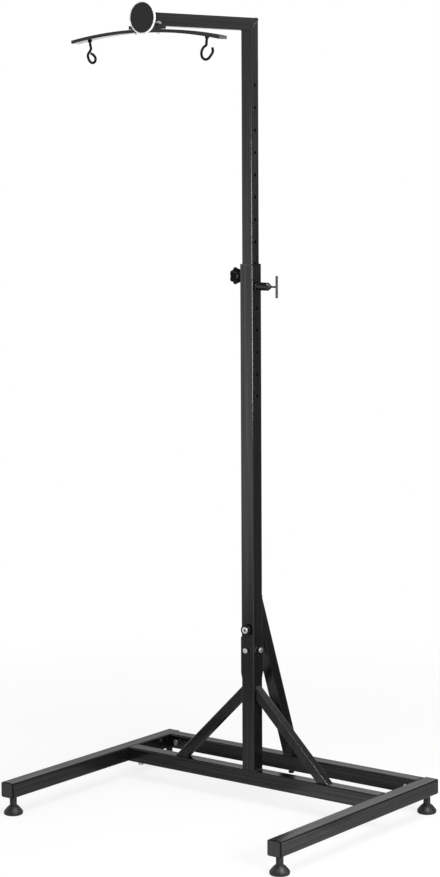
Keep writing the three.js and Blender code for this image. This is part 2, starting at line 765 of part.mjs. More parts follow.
// Plug in the arm's end and the badge on it; z = 0 is the arm's end, +Z points out of it
function armEndPlug() {
  const side = upperTube.side - 2 * upperTube.wall - 2 * plugGap;
  const plug = prism(roundedSquare(side, innerCorner(upperTube)), armPlug.length);
  plug.translate(0, 0, -armPlug.length);
  const depth = badgeStud.length + 2 * seatGap;
  return cut(plug, bore(badgeStud.radius, runningGap, depth + overrun).translate(0, badge.rise, -depth));
}

function badgeRim() {
  const front = seatGap + badge.thickness;
  const edge = badge.rim / 4;
  const faceRadius = badge.radius - badge.rim;
  return revolve([
    [0, -badgeStud.length],
    [badgeStud.radius, -badgeStud.length],
    [badgeStud.radius, seatGap],
    [badge.radius - edge, seatGap],
    [badge.radius, seatGap + edge],
    [badge.radius, front - edge],
    [badge.radius - edge, front],
    [faceRadius, front],
    [faceRadius, front - badge.recess],
    [0, front - badge.recess],
  ], badgeSides);
}

function badgeFace() {
  const bottom = seatGap + badge.thickness - badge.recess + seatGap;
  const radius = badge.radius - badge.rim - seatGap;
  return rod(radius, badge.faceThickness, badgeSides).translate(0, 0, bottom);
}

// Plate under the arm's end; z = 0 is its underside
function mountPlateForm() {
  const outline = roundedRectangle(mountPlate.length, mountPlate.width, mountPlate.corner);
  const plate = prism(outline, mountPlate.thickness);
  const holes = [-bow.boltOffset, bow.boltOffset].map((x) => {
    return clearHole(mountPlate.thickness + 2 * overrun).translate(x, 0, -overrun);
  });
  return cut(plate, ...holes);
}

// Bow: z = 0 is its top at the middle, its ends bend down
const hookAngle = Math.asin(bow.hookOffset / bow.radius);

function bowBar() {
  const half = Math.asin(bow.halfSpan / bow.radius);
  const outline = [];
  for (const [radius, way] of [[bow.radius, 1], [bow.radius - bow.thickness, -1]]) {
    for (let step = 0; step <= bowSteps; step++) {
      const angle = way * half * (2 * step / bowSteps - 1);
      outline.push(new THREE.Vector2(radius * Math.sin(angle), radius * Math.cos(angle) - bow.radius));
    }
  }
  const bar = prism(outline, mountPlate.width).translate(0, 0, -mountPlate.width / 2).rotateX(Math.PI / 2);
  const holes = [-bow.boltOffset, bow.boltOffset].map((x) => {
    return threadHole(4 * bow.thickness).translate(x, 0, -3 * bow.thickness);
  });
  for (const side of [-1, 1]) {
    const hole = bore(wireRadius, runningGap, 3 * bow.thickness).translate(0, 0, -2 * bow.thickness);
    holes.push(hole.translate(0, 0, bow.radius).rotateY(side * hookAngle).translate(0, 0, -bow.radius));
  }
  return cut(bar, ...holes);
}

// Hook: its shank runs straight down -Z from the bow's top, then the wire bends aside into a loop
class HookWire extends THREE.CurvePath {
  constructor(shares) {
    super();
    const top = new THREE.Vector3(0, 0, -seatGap);
    const bendStart = new THREE.Vector3(0, 0, -hook.straight);
    const places = shares.map(([side, down]) => new THREE.Vector3(side, 0, -down));
    places.forEach((place) => place.multiplyScalar(hook.drop));
    this.add(new THREE.LineCurve3(top, bendStart));
    this.add(new THREE.CatmullRomCurve3([bendStart, ...places]));
  }
}

function hookForm(shares) {
  const wire = sweep(new HookWire(shares), wireRadius, wireSides, hookSteps);
  const collarTop = -bow.thickness - seatGap;
  const bevel = hook.collarHeight / 6;
  const collar = revolve([
    [0, collarTop],
    [hook.collarRadius - bevel, collarTop],
    [hook.collarRadius, collarTop - bevel],
    [hook.collarRadius, collarTop - hook.collarHeight + bevel],
    [hook.collarRadius - bevel, collarTop - hook.collarHeight],
    [0, collarTop - hook.collarHeight],
  ]);
  return join(wire, collar);
}

// Assembly
const stand = new THREE.Group();
stand.name = 'gong_stand';
const mast = new THREE.Group();
mast.position.y = mastY;
stand.add(mast);

const sides = [['left', -1], ['right', 1]];
const ends = [['front', -1], ['rear', 1]];

for (const [sideName, side] of sides) {
  piece(`${sideName}_side_beam`, sideBeam(-side), blackPaint, stand, side * beamX, 0, beamAxisZ);
  for (const [endName, end] of ends) {
    const turned = end < 0 ? toward.front(endCap()) : toward.back(endCap());
    const capY = end * (baseDepth / 2 - cap.thickness);
    piece(`${endName}_${sideName}_end_cap`, turned, blackPlastic, stand, side * beamX, capY, beamAxisZ);
    piece(`${endName}_${sideName}_foot_stud`, footStudForm(), zinc, stand, side * beamX, end * footY, 0);
    piece(`${endName}_${sideName}_foot_pad`, footPad(), blackPlastic, stand, side * beamX, end * footY, 0);
  }
  const boltX = side * spigotBoltX;
  const frontBolt = toward.down(hexBolt(crossbarBoltLength));
  piece(`front_${sideName}_crossbar_bolt`, frontBolt, zinc, stand, boltX, mastY, beamHeight);
  const rearBolt = toward.front(hexBolt(crossbarBoltLength));
  const rearFaceY = rearBarY - frameTube.side / 2;
  piece(`rear_${sideName}_crossbar_bolt`, rearBolt, zinc, stand, boltX, rearFaceY, beamAxisZ);
}

piece('front_crossbar', crossbar('down'), blackPaint, stand, 0, mastY, beamAxisZ);
piece('rear_crossbar', rearCrossbar(), blackPaint, stand, 0, rearBarY, beamAxisZ);
piece('stub_post', stubPost(), blackPaint, mast);
piece('left_brace', sideBrace(-1), blackPaint, mast);
piece('right_brace', sideBrace(1), blackPaint, mast);
const socketFace = socket.side / 2;
piece('front_socket_bolt', toward.front(hexBolt(socketBoltLength)), zinc, mast, 0, -socketFace, socketBoltZ);
piece('right_socket_bolt', toward.right(hexBolt(socketBoltLength)), zinc, mast, socketFace, 0, socketBoltZ);

piece('rear_strut', rearStrut(), blackPaint, mast);
piece('strut_head_plate', strutHeadPlate(), blackPaint, mast);
piece('strut_foot_plate', strutFootPlate(), blackPaint, mast, 0, strutFootY, crossbarTopZ + seatGap);
const strutFootBoltLength = frameTube.side + seatGap + footPlate.thickness + seatGap;
const strutFootBolt = toward.down(hexBolt(strutFootBoltLength));
piece('strut_foot_bolt', strutFootBolt, zinc, mast, 0, strutFootY, beamHeight);
piece('strut_screw', toward.front(strutScrewForm()), zinc, mast, 0, -mastHalf, strutKnobZ);
piece('strut_knob', toward.front(strutKnobForm()), darkSteel, mast, 0, -mastHalf, strutKnobZ);

piece('lower_mast', lowerMast(), blackPaint, mast);
piece('mast_guide_bush', guideBush(), blackPlastic, mast, 0, 0, lowerMastTopZ);
const bossX = -mastHalf - seatGap;
piece('clamp_boss', toward.left(clampBossForm()), darkSteel, mast, bossX, 0, clampHeight);
piece('clamp_stud', toward.left(clampStud()), zinc, mast, 0, 0, clampHeight);
const tipForm = rod(clampTip.radius, clampTip.length, holeSides);
piece('clamp_tip', toward.left(tipForm), palePlastic, mast, -upperHalf - seatGap, 0, clampHeight);
piece('star_knob', toward.left(starKnob()), blackPlastic, mast, bossX - clampBoss.height, 0, clampHeight);

piece('pin_housing', toward.right(pinHousing()), blackPlastic, mast, mastHalf, 0, pinHeight);
piece('pull_pin', toward.right(pullPin()), darkSteel, mast, mastHalf, 0, pinHeight);
piece('pin_spring', toward.right(pinSpringForm()), zinc, mast, mastHalf, 0, pinHeight);
piece('pin_handle', pinHandleForm(), darkSteel, mast, mastHalf + pinHandle.distance, 0, pinHeight);

piece('upper_mast', upperMast(), blackPaint, mast);
piece('upper_mast_glide', tubeGlide(), blackPlastic, mast, 0, 0, upperBottomZ);
piece('arm', armTube(), blackPaint, mast);
piece('arm_end_plug', toward.front(armEndPlug()), blackPlastic, mast, 0, -armReach, armAxisZ);
piece('badge_rim', toward.front(badgeRim()), palePlastic, mast, 0, -armReach, armAxisZ + badge.rise);
piece('badge_face', toward.front(badgeFace()), badgeBlack, mast, 0, -armReach, armAxisZ + badge.rise);
piece('mount_plate', mountPlateForm(), blackPaint, mast, 0, plateY, plateTopZ - mountPlate.thickness);
piece('bow', bowBar(), blackPaint, mast, 0, plateY, bowTopZ);
const bowBoltLength = mountPlate.thickness + 2 * seatGap + bow.thickness + bowBoltProud;

for (const [sideName, side, turn] of [['left', -1, leftHookTurn], ['right', 1, rightHookTurn]]) {
  piece(`${sideName}_bow_bolt`, hexBolt(bowBoltLength), zinc, mast, side * bow.boltOffset, plateY, plateTopZ);
  const tilt = side * hookAngle;
  const hookX = bow.radius * Math.sin(tilt);
  const hookZ = bowTopZ + bow.radius * (Math.cos(tilt) - 1);
  const holder = new THREE.Group();
  holder.position.set(hookX, plateY, hookZ);
  holder.rotation.y = tilt;
  mast.add(holder);
  const form = hookForm(side < 0 ? closedHookShares : openHookShares);
  const wire = piece(`${sideName}_hook`, form, darkSteel, holder);
  wire.rotation.z = THREE.MathUtils.degToRad(turn);
}

export default stand;
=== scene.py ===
# %% [markdown]
# # A gong stand in black powder coat
# The stand is a wide base of square steel tube, a mast that slides up and down, an arm, and a shallow bow
# with two hooks for the gong. Its solids are already packed as a fixed frame with joints. This lesson dresses
# that frame: it keeps the tubes, gives them a believable coating, and rebuilds the small turned and moulded
# pieces with rounder forms than the solids have.

# %% Load the frame
import math

import bmesh
import bpy
from mathutils import Matrix, Vector


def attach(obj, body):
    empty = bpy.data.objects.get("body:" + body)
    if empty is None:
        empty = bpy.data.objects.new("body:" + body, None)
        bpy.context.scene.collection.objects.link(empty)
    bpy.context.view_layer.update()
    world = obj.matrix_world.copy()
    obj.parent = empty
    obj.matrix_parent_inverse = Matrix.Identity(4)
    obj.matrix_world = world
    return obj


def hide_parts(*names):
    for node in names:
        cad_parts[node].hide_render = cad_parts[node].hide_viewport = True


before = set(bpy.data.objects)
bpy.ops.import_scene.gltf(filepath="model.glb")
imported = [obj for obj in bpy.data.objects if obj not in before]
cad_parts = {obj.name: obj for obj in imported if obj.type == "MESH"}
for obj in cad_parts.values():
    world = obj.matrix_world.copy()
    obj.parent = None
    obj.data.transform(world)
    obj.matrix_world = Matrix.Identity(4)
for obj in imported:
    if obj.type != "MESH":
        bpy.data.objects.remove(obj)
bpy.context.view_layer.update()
MM = 0.001

# %% [markdown]
# ## The camera
# A product photographer stands well back and uses a long lens, so that upright tubes stay upright. The place
# and the angles below were worked out from straight edges of the stand. The camera looks slightly down from a
# little below the arm's height. The lens is given as a share of the sensor's height, so it fits a tall
# picture.

# %% Camera
PICTURE_HEIGHT = 877
FOCAL_PIXELS = 2397.9
EYE = Vector((3711.84, -4814.87, 1766.41)) * MM
YAW, PITCH, ROLL = (math.radians(a) for a in (37.5783, 7.3166, -0.3171))

away = Vector((math.sin(YAW) * math.cos(PITCH), -math.cos(YAW) * math.cos(PITCH), math.sin(PITCH)))
level = Vector((math.cos(YAW), math.sin(YAW), 0))
upright = away.cross(level)
across = level * math.cos(ROLL) + upright * math.sin(ROLL)
upward = upright * math.cos(ROLL) - level * math.sin(ROLL)

camera_data = bpy.data.cameras.new("view_camera")
camera_data.sensor_fit = "VERTICAL"
camera_data.sensor_height = 24
camera_data.lens = FOCAL_PIXELS * camera_data.sensor_height / PICTURE_HEIGHT
camera = bpy.data.objects.new("view_camera", camera_data)
camera.matrix_world = Matrix.Translation(EYE) @ Matrix((across, upward, away)).transposed().to_4x4()
bpy.context.scene.collection.objects.link(camera)
bpy.context.scene.camera = camera
print("lens", round(camera_data.lens, 2), "mm")

# %% [markdown]
# ## Shader maths that reads like maths
# Nodes are easy to draw by hand and tedious to write. A small class can wrap a node's output and overload the
# operators, so `0.4 + 0.1 * noise` adds its own Math nodes. Every other node comes from one method, `add`,
# which takes the node's type, its settings and what goes into its sockets.

# %% Wires and recipes
MIX_SHARE, MIX_FIRST, MIX_SECOND, MIX_RESULT = 0, 6, 7, 2


class Wire:
    def __init__(self, recipe, socket):
        self.recipe = recipe
        self.socket = socket

    def maths(self, operation, other):
        return self.recipe.add("Math", {"operation": operation}, {0: self, 1: other})

    def __add__(self, other):
        return self.maths("ADD", other)

    def __mul__(self, other):
        return self.maths("MULTIPLY", other)

    __radd__ = __add__
    __rmul__ = __mul__


class Recipe:
    def __init__(self, tree):
        self.tree = tree
        tree.nodes.clear()

    def add(self, kind, settings=None, inputs=None, out=0):
        node = self.tree.nodes.new("ShaderNode" + kind)
        for name, value in (settings or {}).items():
            setattr(node, name, value)
        for name, value in (inputs or {}).items():
            if isinstance(value, Wire):
                self.tree.links.new(value.socket, node.inputs[name])
            else:
                node.inputs[name].default_value = value
        return Wire(self, node.outputs[out]) if node.outputs else None

    def blend(self, share, first, second):
        inputs = {MIX_SHARE: share, MIX_FIRST: first, MIX_SECOND: second}
        return self.add("Mix", {"data_type": "RGBA"}, inputs, out=MIX_RESULT)

    def noise(self, place, per_metre, detail=2.0):
        return self.add("TexNoise", {}, {"Vector": place, "Scale": per_metre, "Detail": detail})

    def bump(self, height, strength, depth):
        return self.add("Bump", {}, {"Strength": strength, "Distance": depth, "Height": height})

    def spread(self, value, low, high, first, last, **settings):
        """Takes a value between low and high to one between first and last."""
        return self.add("MapRange", settings, {
            "Value": value, "From Min": low, "From Max": high, "To Min": first, "To Max": last})

    def finish(self, shader):
        self.add("OutputMaterial", {}, {"Surface": shader})


def grey(level, warmth=0.0):
    return (level * (1 + warmth), level, level * (1 - warmth), 1)


def new_material(name):
    material = bpy.data.materials.new(name)
    material.use_nodes = True
    return material, Recipe(material.node_tree)


print("a wire and a recipe are ready")

# %% [markdown]
# ## Black powder coat
# Powder is sprayed on dry and melts in an oven. It flows into a skin with a soft, slightly pebbled sheen,
# thin on sharp edges and a little uneven in gloss. Two noises do it: a fine one lifts the surface into the
# pebble, and a broad one shifts the gloss and the shade by a few per cent, as dust and handling do. The steel
# below was drawn through rollers, and its long faint lines still show in the sheen, so a third noise is
# stretched along the tube.

# %% Powder coat
def powder_coat(name, shade, gloss, lines):
    material, r = new_material(name)
    place = r.add("TexCoord", out="Object")
    pebble = r.noise(place, per_metre=850, detail=3.0)
    drift = r.noise(place, per_metre=9, detail=4.0)
    streak = r.noise(r.add("Mapping", {}, {"Vector": place, "Scale": lines}), per_metre=260)
    colour = r.blend(drift, grey(shade * 0.8, warmth=0.02), grey(shade * 1.2, warmth=0.02))
    rough = gloss + 0.06 * drift + 0.04 * pebble
    lift = r.bump(pebble, strength=0.09, depth=0.00012)
    sheen = r.spread(streak, low=0.37, high=0.63, first=0.0, last=0.5)
    r.finish(r.add("BsdfPrincipled", {}, {
        "Base Color": colour, "Roughness": rough, "Normal": lift, "Specular IOR Level": 0.48,
        "Coat Weight": sheen, "Coat Roughness": 0.2}))
    return material


STRETCH = 0.01
DRAWN = {"x": (STRETCH, 1, 1), "y": (1, STRETCH, 1), "z": (1, 1, STRETCH)}
coats = {axis: powder_coat(f"black_powder_coat_{axis}", shade=0.0035, gloss=0.15, lines=lines)
         for axis, lines in DRAWN.items()}
print("coats", [material.name for material in coats.values()])

# %% [markdown]
# ## Moulded plastic
# The feet, caps and knobs are injection moulded. Such plastic is black right through, has an even fine grain
# from the mould's spark finish, and is duller than the coating. The knobs are polished more than the feet. An
# end cap is polished on its face only: its sides are scraped dull as it is driven in, so the shine there is
# masked out by the way the surface faces.

# %% Plastics
def moulded(name, shade, gloss, grain, shine=0.5, face_polish=0.0):
    material, r = new_material(name)
    place = r.add("TexCoord", out="Object")
    fine = r.noise(place, per_metre=2200)
    drift = r.noise(place, per_metre=40, detail=3.0)
    look = {"Base Color": r.blend(drift, grey(shade * 0.9), grey(shade * 1.1)),
            "Roughness": gloss + 0.08 * drift, "Normal": r.bump(fine, strength=grain, depth=0.00008),
            "Specular IOR Level": shine}
    if face_polish:
        normal = r.add("TexCoord", out="Normal")
        along_beam = r.add("SeparateXYZ", {}, {0: normal}, out="Y")
        faces_out = r.add("Math", {"operation": "ABSOLUTE"}, {0: along_beam})
        look["Coat Weight"] = r.spread(faces_out, low=0.85, high=0.98, first=0.0, last=face_polish)
        look["Coat Roughness"] = 0.16
        look["Coat IOR"] = 1.75
    r.finish(r.add("BsdfPrincipled", {}, look))
    return material


foot_plastic = moulded("foot_plastic", shade=0.016, gloss=0.42, grain=0.20, shine=0.40)
cap_plastic = moulded("cap_plastic", shade=0.010, gloss=0.40, grain=0.20, shine=0.02, face_polish=1.0)
knob_plastic = moulded("knob_plastic", shade=0.002, gloss=0.24, grain=0.06, shine=0.12)
housing_plastic = moulded("housing_plastic", shade=0.003, gloss=0.16, grain=0.06, shine=0.6)
badge_plastic = moulded("badge_face_plastic", shade=0.006, gloss=0.30, grain=0.10, shine=0.38)
rim_plastic = moulded("badge_rim_plastic", shade=0.72, gloss=0.30, grain=0.05)
tip_plastic = moulded("clamp_tip_plastic", shade=0.60, gloss=0.45, grain=0.20)
print("plastics", foot_plastic.name, cap_plastic.name, knob_plastic.name)

# %% [markdown]
# ## Bright zinc and blackened steel
# Bolts and screws are zinc plated: a bright, slightly bluish metal with faint tool marks and cloudy patches.
# The pull pin and the hooks are blackened steel, a thin dark skin that still shines like metal at a glancing
# angle.

# %% Metals
def plated(name, dark, bright, gloss):
    material, r = new_material(name)
    place = r.add("TexCoord", out="Object")
    cloud = r.noise(place, per_metre=160, detail=4.0)
    marks = r.noise(place, per_metre=1500)
    r.finish(r.add("BsdfPrincipled", {}, {
        "Base Color": r.blend(cloud, dark, bright), "Metallic": 1.0, "Roughness": gloss + 0.14 * cloud,
        "Normal": r.bump(marks, strength=0.12, depth=0.00005)}))
    return material


zinc = plated("bright_zinc", (0.80, 0.81, 0.83, 1), (0.95, 0.96, 0.98, 1), gloss=0.24)
black_steel = plated("blackened_steel", (0.020, 0.020, 0.021, 1), (0.045, 0.045, 0.047, 1), gloss=0.24)
hook_steel = plated("hook_steel", (0.008, 0.008, 0.009, 1), (0.018, 0.018, 0.019, 1), gloss=0.34)
print("metals", zinc.name, black_steel.name, hook_steel.name)

# %% [markdown]
# ## The tubes keep their solids
# The tubes, plates and braces have the right shape already, with their index holes. Only their rounded
# corners are coarse. The mesh must not be changed, but modifiers may stand on top of it, and three do: one
# welds the split corners, one keeps the edges above a given angle sharp, and one weights each corner's normal
# by the area round it. The flats stay flat and the corners look round.

# %% Dress the tubes
TUBE_ANGLE = 38


def even_faces(obj):
    weighted = obj.modifiers.new("flat_faces", "WEIGHTED_NORMAL")
    weighted.keep_sharp = True


def dress(node, material, angle=TUBE_ANGLE):
    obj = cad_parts[node]
    obj.data.materials.clear()
    obj.data.materials.append(material)
    weld = obj.modifiers.new("weld", "WELD")
    weld.merge_threshold = 0.01 * MM
    soft = obj.modifiers.new("soft_edges", "NODES")
    soft.node_group = soft_edges(angle)
    even_faces(obj)


def soft_edges(angle):
    name = f"soft_edges_{angle}"
    if name in bpy.data.node_groups:
        return bpy.data.node_groups[name]
    group = bpy.data.node_groups.new(name, "GeometryNodeTree")
    group.interface.new_socket("Geometry", in_out="INPUT", socket_type="NodeSocketGeometry")
    group.interface.new_socket("Geometry", in_out="OUTPUT", socket_type="NodeSocketGeometry")
    start, end = group.nodes.new("NodeGroupInput"), group.nodes.new("NodeGroupOutput")
    edge_angle = group.nodes.new("GeometryNodeInputMeshEdgeAngle")
    sharp = group.nodes.new("FunctionNodeCompare")
    sharp.data_type, sharp.operation = "FLOAT", "GREATER_THAN"
    sharp.inputs["B"].default_value = math.radians(angle)
    faces = group.nodes.new("GeometryNodeSetShadeSmooth")
    edges = group.nodes.new("GeometryNodeSetShadeSmooth")
    edges.domain = "EDGE"
    edges.inputs["Shade Smooth"].default_value = False
    group.links.new(start.outputs[0], faces.inputs["Geometry"])
    group.links.new(faces.outputs[0], edges.inputs["Geometry"])
    group.links.new(edge_angle.outputs["Unsigned Angle"], sharp.inputs["A"])
    group.links.new(sharp.outputs[0], edges.inputs["Selection"])
    group.links.new(edges.outputs[0], end.inputs[0])
    return group


COATED = {"x": ["front_crossbar", "rear_crossbar", "mount_plate", "bow"],
          "y": ["left_side_beam", "right_side_beam", "arm"],
          "z": ["stub_post", "left_brace", "right_brace", "rear_strut", "strut_head_plate",
                "strut_foot_plate", "lower_mast", "upper_mast"]}
SMALL = {"mast_guide_bush": (cap_plastic, TUBE_ANGLE), "upper_mast_glide": (cap_plastic, TUBE_ANGLE),
         "arm_end_plug": (cap_plastic, TUBE_ANGLE), "clamp_boss": (black_steel, 30),
         "clamp_tip": (tip_plastic, 40), "pin_spring": (zinc, 80)}
for axis, nodes in COATED.items():
    for node in nodes:
        dress(node, coats[axis])
for node, (material, angle) in SMALL.items():
    dress(node, material, angle)
print("dressed", sum(len(nodes) for nodes in COATED.values()) + len(SMALL), "nodes")

# %% [markdown]
# ## Tools for the small pieces
# Every small piece is either turned, so a profile goes round an axis, or swept, so a ring goes along a path.
# Both are a stack of rings joined by quads. A rounded profile matters more than many faces: real edges are
# never sharp, and the little radius is what catches the light. `soften` rounds each corner of a profile.

# %% Rings, profiles and placing
UP, DOWN, LEFT, RIGHT, FRONT, REAR = (0, 0, 1), (0, 0, -1), (-1, 0, 0), (1, 0, 0), (0, -1, 0), (0, 1, 0)
MAST_Y, BEAM_X, BEAM_Z, BEAM_UNDERSIDE, BOW_Y = 142, 430, 68.5, 48.5, -270.2


def soften(points, radius, steps=4):
    rounded = [Vector(points[0])]
    for before, corner, after in zip(points, points[1:], points[2:]):
        before, corner, after = Vector(before), Vector(corner), Vector(after)
        reach_in = min(radius, (corner - before).length * 0.49)
        reach_out = min(radius, (after - corner).length * 0.49)
        start = corner + (before - corner).normalized() * reach_in
        end = corner + (after - corner).normalized() * reach_out
        for step in range(steps + 1):
            t = step / steps
            rounded.append(start * (1 - t) ** 2 + corner * 2 * t * (1 - t) + end * t * t)
    rounded.append(Vector(points[-1]))
    return rounded


def facing(direction):
    """A turn that takes +Z to the direction and keeps +X level."""
    along = Vector(direction).normalized()
    side = Vector(RIGHT) if abs(along.z) > 0.9 else Vector(UP).cross(along).normalized()
    return Matrix((side, along.cross(side), along)).transposed().to_4x4()


def at(x, y, z, direction=UP):
    """A placing in millimetres."""
    return Matrix.Translation((x, y, z)) @ facing(direction)


def ring_mesh(rings, closed_path=False, capped=True):
    """Joins rings of equal length by quads; a ring of one point is a tip."""
    mesh = bmesh.new()
    rows = [[mesh.verts.new(point) for point in ring] for ring in rings]
    pairs = list(zip(rows, rows[1:])) + ([(rows[-1], rows[0])] if closed_path else [])
    for low, high in pairs:
        count = max(len(low), len(high))
        for i in range(count):
            j = (i + 1) % count
            corners = [low[i % len(low)], low[j % len(low)], high[j % len(high)], high[i % len(high)]]
            unique = list(dict.fromkeys(corners))
            if len(unique) > 2:
                mesh.faces.new(unique)
    if capped and not closed_path:
        for row in (rows[0], rows[-1]):
            if len(row) > 2:
                mesh.faces.new(row)
    bmesh.ops.recalc_face_normals(mesh, faces=mesh.faces)
    return mesh


def place(name, meshes, material, body, replaced=(), slot=None, where=None, angle=40):
    """Puts meshes given in millimetres into the frame as one piece."""
    whole = bmesh.new()
    for part in meshes if isinstance(meshes, list) else [meshes]:
        data = bpy.data.meshes.new("part")
        part.to_mesh(data)
        part.free()
        whole.from_mesh(data)
        bpy.data.meshes.remove(data)
    whole.transform(Matrix.Scale(MM, 4) @ (where or Matrix.Identity(4)))
    data = bpy.data.meshes.new(name)
    whole.to_mesh(data)
    whole.free()
    for face in data.polygons:
        face.use_smooth = True
    data.set_sharp_from_angle(angle=math.radians(angle))
    data.materials.append(material)
    obj = bpy.data.objects.new(name, data)
    bpy.context.scene.collection.objects.link(obj)
    even_faces(obj)
    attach(obj, body)
    if replaced:
        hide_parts(*replaced)


def circle(radius, height, sides=48, shape=None):
    """A ring round +Z; a shape gives the share of the radius at each angle."""
    ring = []
    for i in range(sides):
        angle = 2 * math.pi * i / sides
        reach = radius * (shape(angle) if shape else 1)
        ring.append(Vector((reach * math.cos(angle), reach * math.sin(angle), height)))
    return ring


def turned(profile, sides=48, shape=None):
    """Turns a profile of (radius, height) points; a radius of zero closes the form."""
    rings = []
    for radius, height in profile:
        rings.append([Vector((0, 0, height))] if radius < 1e-6 else circle(radius, height, sides, shape))
    return ring_mesh(rings)


print("tools ready")

# %% [markdown]
# ## Weld beads
# Where two tubes are welded a bead lies in the corner: a low ridge with ripples a few millimetres apart, one
# for each drop of metal. The bead on the arm's mitre is what shows most, as a light line with a dark one
# beside it. Each row below holds a bead's two ends, the way it bulges, its height, and its width as a share
# of the height.

# %% Welds
BEAD_STEP, BEAD_SIDES, RIPPLE_DEPTH, RIPPLE_TURN = 0.65, 12, 0.13, 1.6


def bead(start, end, out, height, width):
    """A rippled ridge from one point to the other, bulging the way `out` points."""
    start, end, out = Vector(start), Vector(end), Vector(out).normalized()
    side = (end - start).normalized().cross(out)
    count = round((end - start).length / BEAD_STEP)
    rings = []
    for k in range(count + 1):
        ripple = 1 + RIPPLE_DEPTH * math.sin(k * RIPPLE_TURN)
        size = height * ripple * min(1, 0.5 + k / 4, 0.5 + (count - k) / 4)
        middle = start.lerp(end, k / count)
        rings.append([middle + (side * (width * math.cos(a)) + out * math.sin(a)) * size
                      for a in (2 * math.pi * i / BEAD_SIDES for i in range(BEAD_SIDES))])
    return ring_mesh(rings)


WELDS = {
    "mitre_weld": ("upper", "x", [
        ((15.6, 127, 2019.5), (15.6, 155.6, 2048.1), (1, 0, 0), 2.5, 1.5),
        ((16.4, 127.6, 2015.6), (13.6, 124.8, 2017.6), (0.58, -0.65, 0.5), 2.7, 1.2),
        ((-15.9, 127, 2019.5), (-15.9, 157, 2049.5), (-1, 0, 0), 1.3, 1.9),
        ((-13, 157.2, 2049.8), (13, 157.2, 2049.8), (0, 1, 1), 1.3, 1.5),
        ((-15, 126, 2018.3), (15, 126, 2018.3), (0, -1, -1), 2.0, 1.2)]),
    "strut_weld": ("base", "z", [
        ((-13, 301, 93), (13, 301, 93), (0, -1, 1), 1.5, 1.1),
        ((-13, 334.4, 93), (13, 334.4, 93), (0, 1, 1), 1.4, 1.1),
        ((-13, 167.6, 549.8), (13, 167.6, 549.8), (0, 1, 1), 1.5, 1.2)]),
}
for side, way in (("left", -1), ("right", 1)):
    WELDS[f"{side}_post_weld"] = ("base", "z", [
        ((way * 20.2, 126, 88.8), (way * 20.2, 158, 88.8), (way, 0, 1), 1.7, 1.3)])
    WELDS[f"{side}_brace_weld"] = ("base", "z", [
        ((way * 20.2, 132, 315.3), (way * 20.2, 152, 315.3), (way, 0, 1), 1.5, 1.2),
        ((way * 20.2, 132, 280), (way * 20.2, 152, 280), (way, 0, -1), 1.5, 1.2),
        ((way * 251.6, 132, 88.7), (way * 251.6, 152, 88.7), (way, 0, 1), 1.5, 1.2),
        ((way * 215.6, 132, 88.7), (way * 215.6, 152, 88.7), (-way, 0, 1), 1.5, 1.2)])
for name, (body, axis, beads) in WELDS.items():
    place(name, [bead(*numbers) for numbers in beads], coats[axis], body)
print("welds", len(WELDS))

# %% [markdown]
# ## Levelling feet
# Each foot is a plastic pad on a threaded stud. The profile is turned: a flat sole, a round rim, a cone that
# swings up into the neck, and a bore for the stud. When the foot is screwed out, the stud's thread shows
# between the pad and the beam, so the stud gets a real helical thread.

# %% Feet
THREAD_PITCH, THREAD_RADIUS, THREAD_ANGLE, BORE = 1.25, 4, 70, 4.06
FOOT_Y = 325
CONE_FOOT, NECK, CONE_BOTTOM, CONE_TOP = 25, 9.2, 8.5, 25


def threaded(start, end, depth=0.55, chamfer=0.8, sides=20, steps=5):
    """A rod whose radius rises and falls along a helix, chamfered at both ends."""
    rings = [[Vector((0, 0, start))]]
    count = round((end - start) / THREAD_PITCH * steps)
    for k in range(count + 1):
        height = start + (end - start) * k / count
        taper = min(1, (height - start) / chamfer, (end - height) / chamfer)
        ring = []
        for i in range(sides):
            turn = height / THREAD_PITCH - i / sides
            wave = abs(2 * (turn - math.floor(turn)) - 1)
            reach = THREAD_RADIUS - depth * wave - depth * (1 - taper)
            angle = 2 * math.pi * i / sides
            ring.append(Vector((reach * math.cos(angle), reach * math.sin(angle), height)))
        rings.append(ring)
    rings.append([Vector((0, 0, end))])
    return ring_mesh(rings)


def foot_profile():
    cone = []
    for step in range(9):
        t = step / 8
        swing = math.sin(t * math.pi / 2)
        cone.append((CONE_FOOT + (NECK - CONE_FOOT) * t,
                     CONE_BOTTOM + (CONE_TOP - CONE_BOTTOM) * (t + swing) / 2))
    rim_angles = [(k / 5 - 1) * math.pi / 2 for k in range(6)]
    rim = [(21 + 4 * math.cos(a), 4.2 + 4.2 * math.sin(a)) for a in rim_angles]
    top = soften([(NECK, 26), (NECK, 48.2), (BORE, 48.2), (BORE, 15)], 0.8)
    return [(0, 0), (20.4, 0)] + rim + cone + top + [(0, 14.3)]


for end, y in (("front", -FOOT_Y), ("rear", FOOT_Y)):
    for side, x in (("left", -BEAM_X), ("right", BEAM_X)):
        name = f"{end}_{side}"
        place(f"{name}_pad", turned(foot_profile(), 64), foot_plastic, f"{name}_pad_body",
              [f"{name}_foot_pad"], "black_plastic", at(x, y, 0))
        place(f"{name}_stud", threaded(14.5, 70.5), zinc, f"{name}_stud_body",
              [f"{name}_foot_stud"], "zinc", at(x, y, 0), angle=THREAD_ANGLE)

# %% [markdown]
# ## End caps
# A cap is pushed into each open end of the side beams. Its face is slightly domed at the edge, and a thin
# step where it meets the steel makes the dark line that shows in the picture. Rounded squares stacked along
# the beam's axis give that shape.

